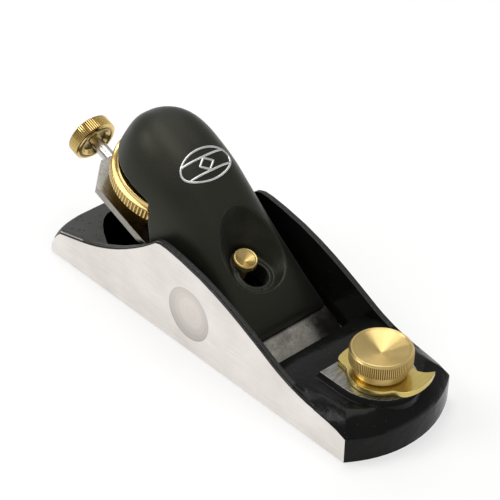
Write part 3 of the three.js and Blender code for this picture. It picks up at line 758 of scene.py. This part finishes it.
def make_adjuster_knob():
    matrix, low, high, radius = axis_frame("adjuster_knob", SHAFT_TURN)
    root = radius - KNURL_ROOT
    profile = [(0, low + 1.7), (5.2, low + 1.6), (6.3, low + 0.2), (6.6, low), (root - 0.5, low),
               (root, low + 0.5), (radius, low + 0.75), (radius, high - 0.75), (root, high - 0.5),
               (root - 0.5, high), (6.4, high), (0, high - 0.7)]
    piece = lathe("adjuster_knob_turned", profile, matrix,
                  knurl=(low + 0.7, high - 0.7, radius, ADJUSTER_TEETH))
    finish_piece(piece, "adjuster", ["adjuster_knob"], [BRASS_BRIGHT, BRASS_GROOVE_SHADE])


def make_shaft():
    matrix, low, high, radius = axis_frame("adjuster_shaft", SHAFT_TURN)
    end = high - 0.05
    profile = [(0, low), (radius - 0.5, low), (radius, low + 0.5), (radius, end), (0, end)]
    piece = lathe("adjuster_shaft_turned", profile, matrix, segments=64)
    finish_piece(piece, "adjuster", ["adjuster_shaft"], [PIN_STEEL])


def make_cap_screw():
    matrix, low, high, radius = axis_frame("lever_cap_screw")
    under = high - 2.3
    profile = [(0, low), (SCREW_SHANK - 0.5, low), (SCREW_SHANK, low + 0.5), (SCREW_SHANK, under),
               (radius, under), (radius, high - 0.35), (radius - 0.35, high),
               (radius - 0.75, high - 0.02), (radius - 1.0, high - 0.3), (0.25, high - 2.0),
               (0, high - 2.02)]
    piece = lathe("lever_cap_screw_turned", profile, matrix, segments=96, ease=0.08)
    finish_piece(piece, "body", ["lever_cap_screw"], [BRASS_FAN])


# ---- badge ----------------------------------------------------------------------------------

BADGE_S, BADGE_ACROSS, BADGE_ALONG = 82, 11, 6.2
BADGE_BAND = 2.7  # middle to each bar
BADGE_LINE, BADGE_STAND = 0.45, 0.22


def crown_at(s, y):
    """Height of the lever cap's skin over the iron."""
    low, high = 0.0, 1.0
    for _ in range(30):
        middle = (low + high) / 2
        low, high = (middle, high) if between(CAP_STATIONS, middle)[0] < s else (low, middle)
    _, half, crown = between(CAP_STATIONS, low)
    return CAP_LOW + (crown - CAP_LOW) * math.sqrt(max(1 - abs(y / half) ** squareness(s), 0))


def badge_line(name, points, closed=True):
    """Raised line along points (s, y) of the crown."""
    data = bpy.data.curves.new(name, "CURVE")
    data.dimensions = "3D"
    data.bevel_depth, data.bevel_resolution = BADGE_LINE * MM, 3
    spline = data.splines.new("POLY")
    spline.points.add(len(points) - 1)
    for point, (s, y) in zip(spline.points, points):
        height = crown_at(s, y) + BADGE_STAND - BADGE_LINE * 0.6
        point.co = (*(BED @ (Vector((s, y, height)) * MM)), 1)
    spline.use_cyclic_u = closed
    return new_object(name, data)


def dense(corners, step=0.5):
    points = []
    for a, b in zip(corners, corners[1:] + corners[:1]):
        a, b = Vector(a), Vector(b)
        count = max(int((b - a).length / step), 1)
        points += [a + (b - a) * i / count for i in range(count)]
    return points


def make_badge():
    along, across = BADGE_ALONG - BADGE_LINE, BADGE_ACROSS - BADGE_LINE
    tip, side_tip = BADGE_BAND - BADGE_LINE, 1.4 * (BADGE_BAND - BADGE_LINE)
    lozenge = [(BADGE_S - tip, 0), (BADGE_S, -side_tip), (BADGE_S + tip, 0), (BADGE_S, side_tip)]
    chord = across * math.sqrt(1 - (BADGE_BAND / along) ** 2)
    bars = [[(BADGE_S + band, chord * (i / 24 - 1)) for i in range(49)]
            for band in (-BADGE_BAND, BADGE_BAND)]
    lines = [badge_line("badge_oval", oval(BADGE_S, along, across)),
             badge_line("badge_lozenge", dense(lozenge))]
    lines += [badge_line("badge_bar", bar, closed=False) for bar in bars]
    for line in lines:
        line.data.use_fill_caps = True
        apply_curve(line)
    with bpy.context.temp_override(active_object=lines[0], selected_editable_objects=lines):
        bpy.ops.object.join()
    lines[0].name = "crown_badge"
    weld(lines[0])
    lines[0].data.shade_smooth()
    finish_piece(lines[0], "cap", ["cap_badge"], [BADGE])


def weld(piece):
    bm = bmesh.new()
    bm.from_mesh(piece.data)
    bmesh.ops.remove_doubles(bm, verts=bm.verts, dist=0.002 * MM)
    bmesh.ops.recalc_face_normals(bm, faces=bm.faces)
    bm.to_mesh(piece.data)
    bm.free()


def apply_curve(line):
    """Turns a curve object into a mesh object of the same name."""
    bpy.context.view_layer.objects.active = line
    with bpy.context.temp_override(active_object=line, object=line, selected_editable_objects=[line],
                                   selected_objects=[line]):
        bpy.ops.object.convert(target="MESH")


# ---- plates and the rest --------------------------------------------------------------------


def make_lever():
    piece = edged_copy("mouth_lever", "mouth_lever_plate", EDGE_WIDTH["lever"])
    finish_piece(piece, "lever", ["mouth_lever"], [BRASS_FLAT])


def make_blade():
    piece = edged_copy("blade", "blade_ground", EDGE_WIDTH["blade"])
    finish_piece(piece, "iron", ["blade"], [BLADE_STEEL])


def make_toe_plate():
    piece = edged_copy("toe_plate", "toe_plate_ground", EDGE_WIDTH["toe"])
    finish_piece(piece, "toe", ["toe_plate"], [SOLE])


CARRIED_OVER = {
    "eccentric_pin": PIN_STEEL, "toe_stud": PIN_STEEL, "adjuster_post": PIN_STEEL,
    "blade_carrier": PIN_STEEL, "carrier_ring_front": PIN_STEEL, "carrier_ring_rear": PIN_STEEL,
    "cap_wheel_screw": PIN_STEEL, "cap_foot": PIN_STEEL,
}


def dress_cad_nodes():
    for node, material in CARRIED_OVER.items():
        piece = frame["nodes"][node]
        piece.data.materials.clear()
        piece.data.materials.append(material)


# ---- stage ----------------------------------------------------------------------------------

FLOOR_HALF, FLOOR_DROP = 4.0, 0.4 * MM
FLOOR_GLOW = 0.56  # keeps the floor pale where the soft shadow falls
WORLD_LIGHT = 0.42
LIGHT_AIM = Vector((0, 0, 20)) * MM


def make_floor():
    mesh = bpy.data.meshes.new("floor")
    corners = [(x * FLOOR_HALF, y * FLOOR_HALF, 0) for x, y in ((-1, -1), (1, -1), (1, 1), (-1, 1))]
    mesh.from_pydata(corners, [], [(0, 1, 2, 3)])
    floor = new_object("floor", mesh, Matrix.Translation((0, 0, -FLOOR_DROP)))
    look = Look("floor", Roughness=0.9)
    look.color(look.mix(look.noise(0.02), (0.44, 0.438, 0.435), (0.46, 0.458, 0.455)))
    look.shader.inputs["Emission Color"].default_value = (1, 1, 1, 1)
    look.shader.inputs["Emission Strength"].default_value = FLOOR_GLOW
    mesh.materials.append(look.material)


def softbox(name, place, size, power):
    data = bpy.data.lights.new(name, "AREA")
    data.shape, data.size, data.size_y = "RECTANGLE", size[0], size[1]
    data.energy = power
    light = bpy.data.objects.new(name, data)
    bpy.context.scene.collection.objects.link(light)
    away = Vector(place) - LIGHT_AIM
    light.matrix_world = Matrix.Translation(place) @ away.to_track_quat("Z", "Y").to_matrix().to_4x4()


def make_light():
    world = bpy.data.worlds.new("studio")
    world.use_nodes = True
    world.node_tree.nodes["Background"].inputs["Color"].default_value = (1, 1, 1, 1)
    world.node_tree.nodes["Background"].inputs["Strength"].default_value = WORLD_LIGHT
    bpy.context.scene.world = world
    softbox("overhead", (-0.1, 0.1, 1.2), (0.9, 0.9), 6)
    softbox("left_key", (-0.65, -0.75, 1.0), (0.6, 0.5), 5)
    softbox("back_card", (-1.1, 1.05, 1.05), (1.0, 0.8), 1.0)
    softbox("streak_back", (-0.58, 0.54, 1.39), (0.08, 0.3), 0.55)
    softbox("streak_side", (-0.94, 0.39, 1.23), (0.08, 0.3), 0.55)
    bpy.context.scene.view_settings.view_transform = "Standard"


# ---- assembly -------------------------------------------------------------------------------

make_body()
make_cap()
make_front_knob()
make_wheel()
make_adjuster_knob()
make_shaft()
make_cap_screw()
make_badge()
make_lever()
make_blade()
make_toe_plate()
dress_cad_nodes()
make_floor()
make_light()
